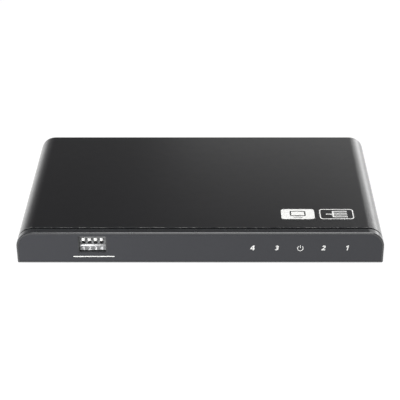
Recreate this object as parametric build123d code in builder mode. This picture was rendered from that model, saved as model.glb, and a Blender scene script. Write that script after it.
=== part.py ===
"""A slim one-to-four video splitter, made as the pieces it comes apart into on a bench.

Millimetres. +X runs to the right of the front face, +Y to the rear, +Z up from the table.
The origin is on the table, under the middle of the housing.
"""
import os

from build123d import *

# Housing: every shell takes its outline from these
housing_width = 155.0
housing_depth = 88.0
housing_height = 15.0
corner_radius = 7.0
heel_radius = 1.2
least_radius = 0.3
foot_drop = 1.0
edge_break = 0.2
overrun = 1.0

# Top cover, folded from sheet
cover_wall = 1.0
cover_lip = 9.0
cover_screw_inset = 6.0

# Front bezel, moulded
bezel_depth = 3.2
bezel_wall = 1.8
bezel_rim = 2.2
bezel_edge_bevel = 0.45
bezel_heel_radius = 0.6
shadow_gap = 0.8
skirt_inset = 1.2
skirt_wall = 1.2
skirt_length = 3.4
skirt_base = 4.2
hook_width = 7.0
hook_thickness = 0.9
hook_barb = 0.5
hook_lead = 1.0
hook_rise = 1.95
hook_place_shares = (-0.36, -0.12, 0.12, 0.36)
rib_thickness = 0.9
rib_place_shares = (-0.43, -0.2, -0.1, 0.0, 0.08)

# Front film, let into the bezel
film_thickness = 0.25
film_inset = 0.9
film_fit = 0.12

# Slide switch behind its window
switch_x_share = -0.2928
switch_pitch = 2.54
switch_ways = 4
switch_width = 11.4
switch_head_gap = 0.4
switch_set_back = 1.0
switch_fit = 0.25
window_width = 11.4
window_cover = 0.2
window_drop = 0.5
window_lip = 0.8
window_bevel = 0.3
trough_depth = 1.0
trough_width = 10.3
slot_wall = 0.7
knob_width = 1.25
knob_height = 1.3
knob_travel = 2.0
knob_proud = 0.3
knob_break = 0.15
slide_gap = 0.1
slot_rise = 0.4
carrier_width = 2.0
cell_wall = 1.3
carrier_thickness = 0.8
wiper_thickness = 0.12
wiper_width = 1.2
wiper_reach = 0.5
wiper_margin = 0.3
wiper_gap = 0.08
base_thickness = 1.4
base_inset = 0.45
terminal_thickness = 0.25
terminal_width = 0.7
terminal_spread = 1.5
terminal_first_row = 0.9
terminal_row_pitch = 2.54
terminal_fit = 0.05

# Indicator lights behind the right of the front face
light_count = 5
first_light_share = 0.1432
last_light_share = 0.4002
light_rise = 7.25
light_hole = 3.2
light_hole_fit = 0.2
guide_bar = 1.8
guide_prong = 6.0
guide_end = 7.0
guide_peg_out = 5.2
guide_peg_size = 1.6
guide_peg_fit = 0.1
guide_boss_size = 3.0
guide_film_gap = 0.1
seal_thickness = 1.1
seal_height = 6.0
seal_end = 3.5
seal_fit = 0.1
led_width = 3.0
led_height = 1.8
led_depth = 1.4
led_lens_width = 2.0
led_lens_depth = 0.6
led_gap = 0.15

# Base tray, folded from thinner sheet
tray_wall = 0.8
tray_fit = 0.3
tray_bend = 0.8
tray_flange = 6.0
tray_front_height = 2.8
tray_front_gap = 0.3
tray_corner = 4.0
tray_corner_depth = 5.0
vent_length = 16.0
vent_width = 2.0
vent_pitch = 5.0
vent_count = 6
vent_bank_share = 0.2
vent_bank_y = -4.0
vent_bank_count = 2

# Rear panel
panel_wall = 1.0
panel_recess = 1.0
panel_fit = 0.25
panel_flange_depth = 8.0
panel_flange_side = 1.0
cutout_fit = 0.3

# Fasteners
cover_screw_radius = 1.25
cover_screw_head = 2.3
cover_screw_cone = 1.0
cover_screw_length = 3.2
pan_screw_head = 2.4
pan_screw_crown = 1.3
screw_fit = 0.15

# Feet
foot_length = 14.0
foot_width = 8.0
foot_bevel = 0.6
foot_inset_x = 21.0
foot_inset_y = 12.0

# Circuit board
board_thickness = 1.6
board_front_gap = 0.5
board_rear_gap = 0.5
board_side_gap = 5.5
standoff_height = 2.2
standoff_radius = 2.75
standoff_shank = 2.1
standoff_inset_x = 5.0
standoff_inset_y = 6.0
standoff_rear_inset = 18.0
board_hole_radius = 1.6
board_screw_radius = 1.2
board_screw_length = 3.4

# Video sockets, drawn about their mouth
mouth_width = 14.0
mouth_height = 4.55
mouth_floor = 10.0
mouth_shoulder = 1.75
shell_wall = 0.3
shell_depth = 11.8
shell_leg_width = 1.1
shell_leg_drop = 0.8
shell_leg_fit = 0.25
shell_leg_first = 3.6
shell_leg_pitch = 6.0
finger_width = 2.2
finger_length = 5.2
finger_slit = 0.4
finger_dip = 0.5
finger_start = 2.2
finger_spread = 4.6
block_depth = 4.0
block_fit = 0.05
tongue_width = 11.6
tongue_thickness = 1.7
tongue_set_back = 1.2
tongue_nose = 0.35
tongue_side_fit = 0.5
contact_pitch = 1.0
contact_upper_count = 10
contact_lower_count = 9
contact_width = 0.4
contact_thickness = 0.2
contact_set_back = 0.9
output_count = 4
first_output_share = 0.116
last_output_share = -0.329
input_share = 0.271

# Power inlet, drawn about its mouth
jack_x_share = 0.4065
jack_width = 9.0
jack_sink = 0.4
jack_head_gap = 1.8
jack_depth = 11.5
jack_nose_inset = 0.2
jack_nose_wall = 0.95
jack_bore_depth = 9.5
jack_pin_radius = 1.0
jack_root_radius = 0.75
jack_pin_set_back = 1.0
jack_pin_tip = 0.5
jack_fit = 0.25
jack_tab_width = 2.0
jack_tab_thickness = 0.4
jack_tab_foot = 1.6
jack_leaf_width = 2.2
jack_leaf_thickness = 0.3
jack_leaf_bulge = 0.35
jack_leaf_slot = 1.1
jack_leaf_start = 3.0
jack_leaf_tail = 1.6
jack_switch_height = 4.0

# Parts on the board
chip_size = 14.0
chip_thickness = 1.1
chip_bevel = 0.25
chip_place_shares = (0.042, 0.017)
pad_size = 13.0
pad_thickness = 0.5
sink_size = 24.0
sink_base = 1.4
sink_head_gap = 1.6
sink_fin = 0.9
sink_fin_count = 8
quad_size = 7.0
quad_thickness = 0.9
quad_place_shares = (-0.198, -0.154)
lead_reach = 1.0
lead_thickness = 0.2
small_chip_width = 3.9
small_chip_length = 4.9
small_chip_thickness = 1.4
small_lead_count = 4
small_lead_pitch = 1.27
small_lead_width = 0.45
regulator_width = 3.5
regulator_length = 6.5
regulator_lead_count = 2
regulator_lead_pitch = 3.4
regulator_lead_width = 1.0
memory_place_shares = (-0.311, -0.13)
regulator_place_shares = ((0.311, 0.042), (0.41, 0.042))
crystal_length = 11.0
crystal_width = 4.6
crystal_height = 3.4
crystal_place_shares = (-0.113, -0.227)
coil_size = 7.0
coil_height = 3.4
coil_corner = 1.4
coil_flange = 0.8
coil_core_size = 4.6
coil_place_shares = (0.361, 0.164)
can_radius = 3.15
can_height = 5.4
can_base = 0.8
can_base_half = 3.4
can_base_bevel = 1.2
can_place_shares = ((0.269, 0.164), (0.465, 0.125))
ceramic_length = 1.6
ceramic_width = 0.8
ceramic_height = 0.8
ceramic_columns = 6
ceramic_rows = 2
ceramic_pitch_x = 4.0
ceramic_gap = 1.2
resistor_length = 1.6
resistor_width = 0.8
resistor_height = 0.45
resistor_count = 4
resistor_pitch = 2.0
resistor_set = 7.0
surge_length = 2.5
surge_width = 1.6
surge_height = 0.6
surge_set = 3.2
surge_spread = 3.0

# Places worked out from the sizes above
front_y = -housing_depth / 2
back_y = housing_depth / 2
bottom_z = foot_drop
roof_z = bottom_z + housing_height - cover_wall
bezel_back_y = front_y + bezel_depth
cover_front_y = bezel_back_y + shadow_gap
cover_depth = back_y - cover_front_y
tray_z = bottom_z + cover_wall
tray_top_z = tray_z + tray_wall
tray_front_y = bezel_back_y + tray_front_gap
tray_width = housing_width - 2 * (cover_wall + tray_fit)
panel_back_y = back_y - panel_recess
panel_front_y = panel_back_y - panel_wall
board_z = tray_top_z + standoff_height
board_top_z = board_z + board_thickness
board_front_y = bezel_back_y + board_front_gap
board_back_y = panel_front_y - board_rear_gap
board_depth = board_back_y - board_front_y
board_width = tray_width - 2 * board_side_gap
board_mid_y = (board_front_y + board_back_y) / 2
switch_x = switch_x_share * housing_width
switch_front_y = front_y + switch_set_back
switch_height = roof_z - switch_head_gap - board_top_z
switch_z = board_top_z + switch_height / 2
slot_z = switch_z + slot_rise
slot_height = knob_height + knob_travel + 2 * slide_gap
carrier_height = switch_height - knob_travel - 2 * (slide_gap + cell_wall)
carrier_front_y = switch_front_y + trough_depth + slot_wall + slide_gap
cavity_depth = carrier_thickness + wiper_reach + wiper_gap + slide_gap
base_front_y = switch_front_y + trough_depth + slot_wall + cavity_depth
switch_back_y = base_front_y + base_thickness
switch_depth = switch_back_y - switch_front_y
window_height = switch_height - 2 * window_cover
window_z = switch_z - window_drop
light_z = bottom_z + light_rise
light_span = (last_light_share - first_light_share) * housing_width
light_pitch = light_span / (light_count - 1)
light_x = [first_light_share * housing_width + light_pitch * index for index in range(light_count)]
output_pitch = (last_output_share - first_output_share) * housing_width / (output_count - 1)
output_x = [first_output_share * housing_width + output_pitch * index for index in range(output_count)]
socket_x = [input_share * housing_width] + output_x
socket_mid_z = board_top_z + shell_wall + mouth_height / 2
jack_x = jack_x_share * housing_width
jack_height = roof_z - jack_head_gap - (board_z - jack_sink)
jack_z = board_z - jack_sink + jack_height / 2
jack_nose_radius = jack_height / 2 - jack_nose_inset
jack_bore_radius = jack_nose_radius - jack_nose_wall
knob_x = [switch_x + switch_pitch * (index - (switch_ways - 1) / 2) for index in range(switch_ways)]
guide_nose_y = front_y + film_thickness + guide_film_gap
guide_tail_y = guide_nose_y + guide_prong
guide_mid_x = (light_x[0] + light_x[-1]) / 2
guide_peg_x = (light_x[0] - guide_peg_out, light_x[-1] + guide_peg_out)
prong_size = light_hole - 2 * light_hole_fit


def level(z):
    """A lying plane at this height."""
    return Plane.XY.offset(z)


def on_board(place_shares):
    """A place on the board, from shares of its width and depth about its middle."""
    return (place_shares[0] * board_width, board_mid_y + place_shares[1] * board_depth)


def upright(y):
    """A plane facing the front at this depth; its sketches are extruded towards the front."""
    return Plane.XZ.offset(-y)


def sideways(x):
    """A plane facing the right at this place; its sketches are drawn in depth and height."""
    return Plane.YZ.offset(x)


def facing_down(x, y, z):
    """A plane for a hole that is drilled from below."""
    return Plane(origin=(x, y, z), x_dir=(1, 0, 0), z_dir=(0, 0, -1))


def rounded_plate(width, height, top_radius, base_radius):
    """A rectangle standing on its lower edge, with its top and bottom corners rounded."""
    with BuildSketch() as plate:
        with Locations((0, height / 2)):
            Rectangle(width, height)
        if top_radius:
            fillet(plate.vertices().group_by(Axis.Y)[-1], top_radius)
        fillet(plate.vertices().group_by(Axis.Y)[0], base_radius)
    return plate.sketch


def end_outline(inset, heel=heel_radius):
    """The end view of the housing, drawn in by an inset all round."""
    with BuildSketch() as outline:
        with Locations((0, bottom_z + inset)):
            add(
                rounded_plate(
                    housing_width - 2 * inset,
                    housing_height - 2 * inset,
                    corner_radius - inset,
                    max(heel - inset, least_radius),
                )
            )
    return outline.sketch


def mouth_outline(grow):
    """The keyed mouth of a video socket, about its middle, made larger all round."""
    half = mouth_width / 2
    floor_half = mouth_floor / 2
    top = mouth_height / 2
    with BuildSketch() as outline:
        with BuildLine():
            Polyline(
                (-half, top),
                (half, top),
                (half, mouth_shoulder - top),
                (floor_half, -top),
                (-floor_half, -top),
                (-half, mouth_shoulder - top),
                close=True,
            )
        make_face()
        if grow:
            offset(amount=grow, kind=Kind.INTERSECTION, mode=Mode.REPLACE)
    return outline.sketch


def screw(head_radius, head_height, shank_radius, length, countersunk):
    """A screw standing on its head, about Z, with the length that goes into the work."""
    with BuildPart() as body:
        with BuildSketch(Plane.XZ):
            with BuildLine():
                if countersunk:
                    Polyline(
                        (0, 0),
                        (head_radius, 0),
                        (shank_radius, head_height),
                        (shank_radius, length),
                        (0, length),
                        close=True,
                    )
                else:
                    Polyline(
                        (0, 0),
                        (head_radius, 0),
                        (head_radius, head_height),
                        (shank_radius, head_height),
                        (shank_radius, head_height + length),
                        (0, head_height + length),
                        close=True,
                    )
            make_face()
        revolve(axis=Axis.Z)
    return body.part


def save(piece, name):
    """Name a finished piece and write it under that name."""
    piece.label = name
    export_step(piece, "parts/" + name + ".step")


os.makedirs("parts", exist_ok=True)

# The cover slides on along the tray, and one screw a side locks it to the tray and the rear panel's foot
cover_screw_places = [
    (side * (housing_width / 2 - cover_screw_inset), panel_front_y - panel_flange_depth / 2)
    for side in (-1, 1)
]
# The board is screwed down at its rear and lies on two plain posts at its front
standoff_x = [side * (board_width / 2 - standoff_inset_x) for side in (-1, 1)]
screwed_places = [(x, board_back_y - standoff_rear_inset) for x in standoff_x]
post_places = [(x, board_front_y + standoff_inset_y) for x in standoff_x]

# Top cover: one folded sheet, with lips turned in under the tray
with BuildPart() as top_cover:
    with BuildSketch(upright(back_y)):
        add(end_outline(0))
    extrude(amount=cover_depth)
    chamfer(top_cover.faces().sort_by(Axis.Y)[0].edges(), edge_break)
    chamfer(top_cover.faces().sort_by(Axis.Y)[-1].edges(), edge_break)
    with BuildSketch(upright(back_y)):
        add(end_outline(cover_wall))
        with Locations((0, bottom_z)):
            Rectangle(housing_width - 2 * cover_lip, 2 * cover_wall + overrun)
    extrude(amount=cover_depth, mode=Mode.SUBTRACT)
    with Locations([facing_down(x, y, bottom_z) for x, y in cover_screw_places]):
        CounterSinkHole(
            cover_screw_radius + screw_fit, cover_screw_head + screw_fit, depth=cover_wall + overrun
        )
save(top_cover.part, "top_cover")

# Base tray: a floor with side flanges and a low front wall, relieved at the front corners
with BuildPart() as base_tray:
    channel_length = panel_back_y - tray_front_y - tray_corner_depth
    with BuildSketch(upright(panel_back_y)):
        with Locations((0, tray_z)):
            add(rounded_plate(tray_width, tray_flange, 0, tray_bend + tray_wall))
        with Locations((0, tray_top_z)):
            add(
                rounded_plate(tray_width - 2 * tray_wall, tray_flange + overrun, 0, tray_bend),
                mode=Mode.SUBTRACT,
            )
    extrude(amount=channel_length)
    # The side flanges stop short of the rear panel
    with BuildSketch(level(tray_top_z)):
        with Locations((0, panel_back_y)):
            Rectangle(tray_width + overrun, 2 * (panel_wall + panel_fit))
    extrude(amount=tray_flange + overrun, mode=Mode.SUBTRACT)
    with BuildSketch(sideways(0)):
        with Locations((tray_front_y + tray_corner_depth, tray_z + tray_wall / 2)):
            Rectangle(2 * tray_corner_depth, tray_wall)
        with Locations((tray_front_y + tray_wall / 2, tray_z + tray_front_height / 2)):
            Rectangle(tray_wall, tray_front_height)
    extrude(amount=tray_width / 2 - tray_corner, both=True)
    fillet(
        base_tray.edges().filter_by(Axis.X).group_by(Axis.Y)[0].sort_by(Axis.Z)[0], tray_bend
    )
    with Locations([facing_down(x, y, tray_z) for x, y in cover_screw_places]):
        Hole(cover_screw_radius + screw_fit, depth=tray_wall + overrun)
    with BuildSketch(level(tray_z)):
        with Locations(screwed_places + post_places):
            RegularPolygon(standoff_shank, 6)
    extrude(amount=tray_wall, mode=Mode.SUBTRACT)
    # Two banks of vent slots under the board
    with BuildSketch(level(tray_z)):
        with Locations((0, vent_bank_y)):
            with GridLocations(2 * vent_bank_share * housing_width, vent_pitch, vent_bank_count, vent_count):
                Rectangle(vent_length, vent_width)
    extrude(amount=tray_wall, mode=Mode.SUBTRACT)
    # Slots in the front wall that the bezel's hooks snap through
    with BuildSketch(upright(tray_front_y + tray_wall)):
        with Locations([(share * housing_width, bottom_z + hook_rise + hook_thickness / 2)
                        for share in hook_place_shares]):
            Rectangle(hook_width + 2 * slide_gap, hook_thickness + 2 * slide_gap)
    extrude(amount=tray_wall, mode=Mode.SUBTRACT)
save(base_tray.part, "base_tray")

# Rear panel: an upright plate with a foot turned forward on the tray
with BuildPart() as rear_panel:
    with BuildSketch(upright(panel_back_y)):
        add(end_outline(cover_wall + panel_fit))
        with Locations((0, tray_top_z)):
            Rectangle(
                housing_width, housing_height, align=(Align.CENTER, Align.MAX), mode=Mode.SUBTRACT
            )
        with Locations([(x, socket_mid_z) for x in socket_x]):
            add(mouth_outline(shell_wall + cutout_fit), mode=Mode.SUBTRACT)
        with Locations((jack_x, jack_z)):
            Circle(jack_nose_radius + jack_fit, mode=Mode.SUBTRACT)
    extrude(amount=panel_wall)
    with BuildSketch(sideways(0)):
        with Locations((panel_back_y - panel_wall, tray_top_z)):
            Rectangle(panel_flange_depth, panel_wall, align=(Align.MAX, Align.MIN))
    extrude(amount=tray_width / 2 - tray_wall - panel_flange_side, both=True)
    with BuildSketch(level(tray_top_z)):
        with Locations((jack_x, panel_front_y - panel_flange_depth / 2 - panel_fit)):
            Rectangle(jack_width + 2 * jack_fit, panel_flange_depth)
    extrude(amount=panel_wall, mode=Mode.SUBTRACT)
    fillet(
        rear_panel.edges().filter_by(Axis.X).group_by(Axis.Z)[0].sort_by(Axis.Y)[-1], panel_wall / 2
    )
    with Locations([facing_down(x, y, tray_top_z) for x, y in cover_screw_places]):
        Hole(cover_screw_radius, depth=panel_wall + overrun)
save(rear_panel.part, "rear_panel")

# Front bezel: a rimmed plate with a skirt that goes in under the cover's front edge
with BuildPart() as front_bezel:
    with BuildSketch(upright(bezel_back_y)):
        add(end_outline(0, bezel_heel_radius))
    extrude(amount=bezel_depth)
    chamfer(front_bezel.faces().sort_by(Axis.Y)[0].edges(), bezel_edge_bevel)
    with BuildSketch(upright(bezel_back_y)):
        add(end_outline(bezel_rim))
    extrude(amount=bezel_depth - bezel_wall, mode=Mode.SUBTRACT)
    # Upright ribs across the hollow behind the front wall
    with BuildSketch(upright(bezel_back_y)):
        with Locations(
            [(share * housing_width, bottom_z + housing_height / 2) for share in rib_place_shares]
        ):
            Rectangle(rib_thickness, housing_height - 2 * bezel_rim)
    extrude(amount=bezel_depth - bezel_wall)
    with BuildSketch(upright(bezel_back_y + skirt_length)):
        add(end_outline(skirt_inset))
        add(end_outline(skirt_inset + skirt_wall), mode=Mode.SUBTRACT)
        with Locations((0, bottom_z + skirt_base)):
            Rectangle(
                housing_width, housing_height, align=(Align.CENTER, Align.MAX), mode=Mode.SUBTRACT
            )
    extrude(amount=skirt_length)
    # Snap hooks that reach through the tray's front wall
    hook_root_y = front_y + bezel_wall
    hook_catch_y = tray_front_y + tray_wall + slide_gap
    hook_z = bottom_z + hook_rise
    for share in hook_place_shares:
        with BuildSketch(sideways(share * housing_width)):
            with BuildLine():
                Polyline(
                    (hook_root_y, hook_z),
                    (hook_catch_y + hook_lead, hook_z),
                    (hook_catch_y + hook_lead, hook_z + hook_thickness / 2),
                    (hook_catch_y, hook_z + hook_thickness + hook_barb),
                    (hook_catch_y, hook_z + hook_thickness),
                    (hook_root_y, hook_z + hook_thickness),
                    close=True,
                )
            make_face()
        extrude(amount=hook_width / 2, both=True)
    # The film's seat
    with BuildSketch(upright(front_y + film_thickness)):
        add(end_outline(film_inset))
    extrude(amount=film_thickness + overrun, mode=Mode.SUBTRACT)
    # The switch's window, with a deeper seat for the switch behind its lip and through the skirt
    with BuildSketch(upright(bezel_back_y + skirt_length)):
        with Locations((switch_x, switch_z)):
            Rectangle(switch_width + 2 * switch_fit, switch_height + 2 * switch_fit)
    extrude(amount=skirt_length + bezel_depth - window_lip, mode=Mode.SUBTRACT)
    with BuildSketch(upright(bezel_back_y)):
        with Locations((switch_x, window_z)):
            Rectangle(window_width, window_height)
    extrude(amount=bezel_depth + overrun, mode=Mode.SUBTRACT)
    # Bosses and pegs that carry the light guide
    with BuildSketch(upright(guide_tail_y - guide_bar)):
        with Locations([(x, light_z) for x in guide_peg_x]):
            Rectangle(guide_boss_size, guide_boss_size)
    extrude(amount=guide_tail_y - guide_bar - (front_y + bezel_wall))
    with BuildSketch(upright(guide_tail_y)):
        with Locations([(x, light_z) for x in guide_peg_x]):
            Rectangle(guide_peg_size, guide_peg_size)
    extrude(amount=guide_bar)
    # Holes for the light guide's noses
    with BuildSketch(upright(bezel_back_y)):
        with Locations([(x, light_z) for x in light_x]):
            Rectangle(light_hole, light_hole)
    extrude(amount=bezel_depth + overrun, mode=Mode.SUBTRACT)
save(front_bezel.part, "front_bezel")

# Front film: it covers the light holes and leaves the switch's window open
with BuildPart() as front_overlay:
    with BuildSketch(upright(front_y + film_thickness)):
        add(end_outline(film_inset + film_fit))
        with Locations((switch_x, window_z)):
            Rectangle(window_width + 2 * window_bevel, window_height + 2 * window_bevel, mode=Mode.SUBTRACT)
    extrude(amount=film_thickness)
save(front_overlay.part, "front_overlay")

# Cover screws, from below
with BuildPart() as cover_screws:
    with Locations([(x, y, bottom_z) for x, y in cover_screw_places]):
        add(screw(cover_screw_head, cover_screw_cone, cover_screw_radius, cover_screw_length, True))
save(cover_screws.part, "cover_screws")

# Rubber feet, stuck to the underside of the tray between the cover's lips
with BuildPart() as rubber_feet:
    foot_x = 2 * (housing_width / 2 - foot_inset_x)
    foot_y = 2 * (housing_depth / 2 - foot_inset_y)
    foot_height = tray_z
    with BuildSketch(Plane.XY):
        with GridLocations(foot_x, foot_y, 2, 2):
            Rectangle(foot_length, foot_width)
    extrude(amount=foot_height)
    chamfer(rubber_feet.edges().group_by(Axis.Z)[0], foot_bevel)
save(rubber_feet.part, "rubber_feet")

# Board standoffs, pressed into the tray; the two at the rear are threaded
with BuildPart() as board_standoffs:
    with BuildSketch(level(tray_top_z)):
        with Locations(screwed_places + post_places):
            RegularPolygon(standoff_radius, 6)
    extrude(amount=standoff_height)
    with BuildSketch(level(tray_z)):
        with Locations(screwed_places + post_places):
            RegularPolygon(standoff_shank, 6)
    extrude(amount=tray_wall)
    with BuildSketch(level(tray_z)):
        with Locations(screwed_places):
            Circle(board_screw_radius)
    extrude(amount=tray_wall + standoff_height, mode=Mode.SUBTRACT)
save(board_standoffs.part, "board_standoffs")

# Board screws, from above
with BuildPart() as board_screws:
    with Locations([facing_down(x, y, board_top_z + pan_screw_crown) for x, y in screwed_places]):
        add(screw(pan_screw_head, pan_screw_crown, board_screw_radius, board_screw_length, False))
save(board_screws.part, "board_screws")

# Circuit board, notched for the power inlet and drilled for every leg
leg_y = [back_y - shell_leg_first - shell_leg_pitch * index for index in range(2)]
leg_x = [x + side * (mouth_width + shell_wall) / 2 for x in socket_x for side in (-1, 1)]
terminal_y = [switch_back_y + terminal_first_row + terminal_row_pitch * row for row in range(2)]
terminal_hole = terminal_width + 2 * terminal_fit
with BuildPart() as main_board:
    with BuildSketch(level(board_z)):
        with Locations((0, board_mid_y)):
            Rectangle(board_width, board_depth)
        with Locations((jack_x, board_back_y)):
            Rectangle(
                jack_width + 2 * jack_fit,
                2 * (jack_depth + jack_fit - (back_y - board_back_y)),
                mode=Mode.SUBTRACT,
            )
        with Locations(screwed_places):
            Circle(board_hole_radius, mode=Mode.SUBTRACT)
        with Locations([(x, y) for x in leg_x for y in leg_y]):
            Rectangle(
                shell_wall + 2 * shell_leg_fit, shell_leg_width + 2 * shell_leg_fit, mode=Mode.SUBTRACT
            )
        with Locations([(x, y) for x in knob_x for y in terminal_y]):
            Rectangle(terminal_hole, terminal_hole, mode=Mode.SUBTRACT)
    extrude(amount=board_thickness)
save(main_board.part, "main_board")


# A video socket is three pieces, drawn with the middle of its mouth at the origin
socket_floor = board_top_z - socket_mid_z
shell_half = (mouth_width + 2 * shell_wall) / 2
tongue_root_y = -shell_depth + block_depth


def finger_profile(side):
    """A leaf spring cut from the shell's wall, bent into the mouth and out again at its tip."""
    wall_z = side * mouth_height / 2
    outer_z = wall_z + side * shell_wall
    low_z = wall_z - side * finger_dip
    tip_y = -finger_start
    bend_y = tip_y - finger_length / 4
    root_y = tip_y - finger_length
    with BuildSketch() as profile:
        with BuildLine():
            Polyline(
                (root_y, outer_z),
                (root_y, wall_z),
                (bend_y, low_z),
                (tip_y, low_z + side * finger_dip / 2),
                (tip_y, low_z + side * (finger_dip / 2 + shell_wall)),
                (bend_y, low_z + side * shell_wall),
                close=True,
            )
        make_face()
    return profile.sketch


def socket_shell():
    """The folded steel shell, with four leaf springs and four legs."""
    with BuildPart() as shell:
        with BuildSketch(upright(0)):
            add(mouth_outline(shell_wall))
            add(mouth_outline(0), mode=Mode.SUBTRACT)
        extrude(amount=shell_depth)
        # Windows for the leaf springs, above and below
        with BuildSketch(level(-mouth_height)):
            with Locations((0, -finger_start - finger_length / 2)):
                with GridLocations(finger_spread, finger_length, 2, 1):
                    Rectangle(finger_width + 2 * finger_slit, finger_length)
        extrude(amount=2 * mouth_height, mode=Mode.SUBTRACT)
        for x in (-finger_spread / 2, finger_spread / 2):
            for side in (-1, 1):
                with BuildSketch(sideways(x)):
                    add(finger_profile(side))
                extrude(amount=finger_width / 2, both=True)
        with BuildSketch(sideways(shell_half - shell_wall)):
            with Locations([(-shell_leg_first - shell_leg_pitch * index, 0) for index in range(2)]):
                Rectangle(
                    shell_leg_width,
                    board_thickness + shell_leg_drop - socket_floor,
                    align=(Align.CENTER, Align.MAX),
                )
        extrude(amount=shell_wall)
        mirror(about=Plane.YZ)
    return shell.part


def contact_places(count):
    """Where one row of contacts stands across the tongue."""
    return [contact_pitch * (index - (count - 1) / 2) for index in range(count)]


def socket_tongue():
    """The moulded block that fills the rear of the shell, with the tongue that carries the contacts."""
    with BuildPart() as tongue:
        with BuildSketch(upright(tongue_root_y)):
            add(mouth_outline(-block_fit))
        extrude(amount=block_depth)
        # A wide slot above and below the tongue lets each row of contacts through the block
        with BuildSketch(upright(tongue_root_y)):
            Rectangle(tongue_width - 2 * tongue_side_fit, tongue_thickness + 2 * contact_thickness)
            Rectangle(tongue_width, tongue_thickness, mode=Mode.SUBTRACT)
        extrude(amount=block_depth, mode=Mode.SUBTRACT)
        with BuildSketch(upright(-tongue_set_back)):
            Rectangle(tongue_width, tongue_thickness)
        extrude(amount=-tongue_root_y - tongue_set_back)
        chamfer(
            tongue.faces().sort_by(Axis.Y)[-1].edges().filter_by(Axis.X), tongue_nose
        )
    return tongue.part


def socket_contacts():
    """Nineteen bent strips in two staggered rows, along the tongue and down behind the block to the board."""
    start_y = -tongue_set_back - contact_set_back
    riser_y = -shell_depth - contact_thickness
    with BuildPart() as contacts:
        for count, strip_low in (
            (contact_upper_count, tongue_thickness / 2),
            (contact_lower_count, -tongue_thickness / 2 - contact_thickness),
        ):
            for x in contact_places(count):
                with BuildSketch(sideways(x)):
                    with BuildLine():
                        Polyline(
                            (start_y, strip_low + contact_thickness),
                            (riser_y - contact_thickness, strip_low + contact_thickness),
                            (riser_y - contact_thickness, socket_floor),
                            (riser_y, socket_floor),
                            (riser_y, strip_low),
                            (start_y, strip_low),
                            close=True,
                        )
                    make_face()
                extrude(amount=contact_width / 2, both=True)
    return contacts.part


shell_shape = socket_shell()
tongue_shape = socket_tongue()
contacts_shape = socket_contacts()
socket_names = ["input_socket"] + [f"output_socket_{index + 1}" for index in range(output_count)]
for name, x in zip(socket_names, socket_x):
    with BuildPart() as placed_shell:
        with Locations((x, back_y, socket_mid_z)):
            add(shell_shape)
    save(placed_shell.part, name + "_shell")
    with BuildPart() as placed_tongue:
        with Locations((x, back_y, socket_mid_z)):
            add(tongue_shape)
    save(placed_tongue.part, name + "_tongue")
    with BuildPart() as placed_contacts:
        with Locations((x, back_y, socket_mid_z)):
            add(contacts_shape)
    save(placed_contacts.part, name + "_contacts")

# Power inlet: a moulded body with a round nose, a centre pin and a leaf that touches the plug
jack_back_y = back_y - jack_depth
with BuildPart() as power_jack_body:
    with BuildSketch(upright(panel_front_y - panel_fit)):
        with Locations((jack_x, jack_z)):
            Rectangle(jack_width, jack_height)
    extrude(amount=jack_depth - (back_y - panel_front_y) - panel_fit)
    with BuildSketch(upright(back_y)):
        with Locations((jack_x, jack_z)):
            Circle(jack_nose_radius)
    extrude(amount=back_y - panel_front_y + panel_fit)
    with BuildSketch(upright(back_y)):
        with Locations((jack_x, jack_z)):
            Circle(jack_bore_radius)
    extrude(amount=jack_bore_depth, mode=Mode.SUBTRACT)
    # The pin's root goes out through the rear wall
    with BuildSketch(upright(back_y)):
        with Locations((jack_x, jack_z)):
            Circle(jack_root_radius)
    extrude(amount=jack_depth, mode=Mode.SUBTRACT)
    # A slot under the bore holds the leaf
    with BuildSketch(sideways(jack_x)):
        with Locations((jack_back_y, jack_z - jack_bore_radius - jack_leaf_slot)):
            Rectangle(
                jack_depth - jack_leaf_start,
                jack_leaf_slot + jack_bore_radius / 2,
                align=(Align.MIN, Align.MIN),
            )
    extrude(amount=jack_leaf_width / 2 + block_fit, both=True, mode=Mode.SUBTRACT)
save(power_jack_body.part, "power_jack_body")

with BuildPart() as power_jack_pin:
    with BuildSketch(upright(back_y - jack_pin_set_back)):
        with Locations((jack_x, jack_z)):
            Circle(jack_pin_radius)
    extrude(amount=jack_bore_depth - jack_pin_set_back)
    chamfer(power_jack_pin.edges().sort_by(Axis.Y)[-1], jack_pin_tip)
    with BuildSketch(upright(back_y - jack_bore_depth)):
        with Locations((jack_x, jack_z)):
            Circle(jack_root_radius)
    extrude(amount=jack_depth - jack_bore_depth)
    with BuildSketch(sideways(jack_x)):
        with Locations((jack_back_y, board_top_z)):
            Rectangle(
                jack_tab_thickness,
                jack_z + jack_pin_radius - board_top_z,
                align=(Align.MAX, Align.MIN),
            )
            Rectangle(jack_tab_foot, jack_tab_thickness, align=(Align.MAX, Align.MIN))
    extrude(amount=jack_tab_width / 2, both=True)
save(power_jack_pin.part, "power_jack_pin")

with BuildPart() as power_jack_spring:
    leaf_z = jack_z - jack_bore_radius - jack_leaf_slot
    bend_y = back_y - jack_bore_depth / 2
    with BuildSketch(sideways(jack_x)):
        with BuildLine():
            Polyline(
                (jack_back_y - jack_leaf_tail, leaf_z),
                (jack_back_y + jack_leaf_slot, leaf_z),
                (bend_y, jack_z - jack_bore_radius + jack_leaf_bulge - jack_leaf_thickness),
                (back_y - jack_leaf_start - block_fit, leaf_z + jack_leaf_slot / 2),
                (back_y - jack_leaf_start - block_fit, leaf_z + jack_leaf_slot / 2 + jack_leaf_thickness),
                (bend_y, jack_z - jack_bore_radius + jack_leaf_bulge),
                (jack_back_y + jack_leaf_slot, leaf_z + jack_leaf_thickness),
                (jack_back_y - jack_leaf_tail, leaf_z + jack_leaf_thickness),
                close=True,
            )
        make_face()
    extrude(amount=jack_leaf_width / 2, both=True)
save(power_jack_spring.part, "power_jack_spring")

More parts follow.
